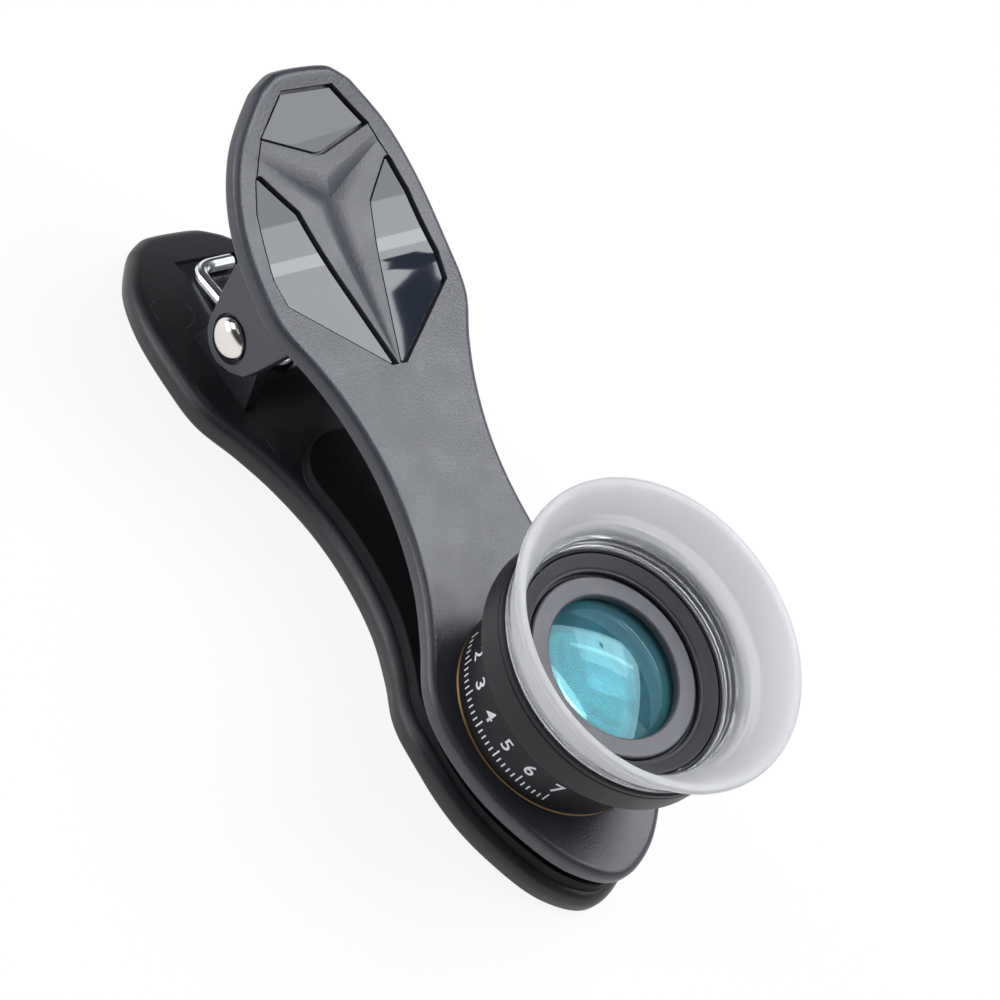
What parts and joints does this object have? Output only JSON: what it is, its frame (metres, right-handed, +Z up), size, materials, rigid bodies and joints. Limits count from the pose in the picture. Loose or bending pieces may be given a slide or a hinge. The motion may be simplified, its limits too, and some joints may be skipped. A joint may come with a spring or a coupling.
{
  "type": "clip-on phone lens",
  "caption": "Clip-on close-up lens for a phone: a sprung clip with moulded jaws and rubber grip pads, carrying a screw-in lens with a pull-off light hood.",
  "frame": {"origin": "bottom centre of the bounding box, the clip lying on the back of its rear jaw", "axes": "+Y towards the thumb ends, +Z up through the lens side, +X across the jaws"},
  "size_m": [0.031, 0.0854, 0.0321],
  "materials": {
    "rear_jaw_plastic": "smooth moulded, satin",
    "jaw_plastic": "fine matte texture",
    "pad_rubber": "soft matte",
    "inlay_gloss": "mirror gloss",
    "rivet_steel": "polished nickel plate",
    "spring_zinc": "bright zinc plate",
    "mount_brass": "turned, satin",
    "barrel_black": "satin black anodised",
    "collar_black": "satin black anodised",
    "face_black": "satin black anodised",
    "retainer_grey": "matte grey anodised",
    "coated_glass": "polished, green-blue coating",
    "spacer_black": "matte black",
    "inner_glass": "polished",
    "rear_glass": "polished",
    "rear_ring_black": "satin black anodised",
    "hood_frost": "frosted translucent, clear gloss base and lip"
  },
  "bodies": {
    "rear_body": {"rear_jaw": "rear_jaw_plastic", "rear_jaw_pad": "pad_rubber", "pivot_rivet": "rivet_steel", "pivot_rivet_cap": "rivet_steel", "torsion_spring": "spring_zinc"},
    "front_body": {"front_jaw": "jaw_plastic", "front_jaw_pad": "pad_rubber", "thumb_inlay_top": "inlay_gloss", "thumb_inlay_left": "inlay_gloss", "thumb_inlay_right": "inlay_gloss", "mount_ring": "mount_brass"},
    "lens_body": {"lens_barrel": "barrel_black", "barrel_collar": "collar_black", "face_ring": "face_black", "retaining_ring": "retainer_grey", "front_lens": "coated_glass", "spacer_ring": "spacer_black", "inner_lens": "inner_glass", "rear_lens": "rear_glass", "rear_retaining_ring": "rear_ring_black"},
    "hood_body": {"diffuser_hood": "hood_frost"}
  },
  "joints": [
    {"name": "jaw_pivot", "type": "hinge", "parent": "rear_body", "child": "front_body", "pos_m": [0, 0.02299, 0.01136], "axis": [-1, 0, 0], "range_deg": [0, 24], "stiffness_Nm_per_rad": 0.3, "springref_deg": -22.92, "deforming": ["torsion_spring"]},
    {"name": "lens_unscrew", "type": "hinge", "parent": "front_body", "child": "lens_body", "pos_m": [0, -0.02358, 0.01105], "axis": [0, -0.2298, 0.9732], "continuous": true},
    {"name": "hood_pull", "type": "slide", "parent": "lens_body", "child": "hood_body", "axis": [0, -0.2298, 0.9732], "range_m": [0, 0.008]}
  ]
}
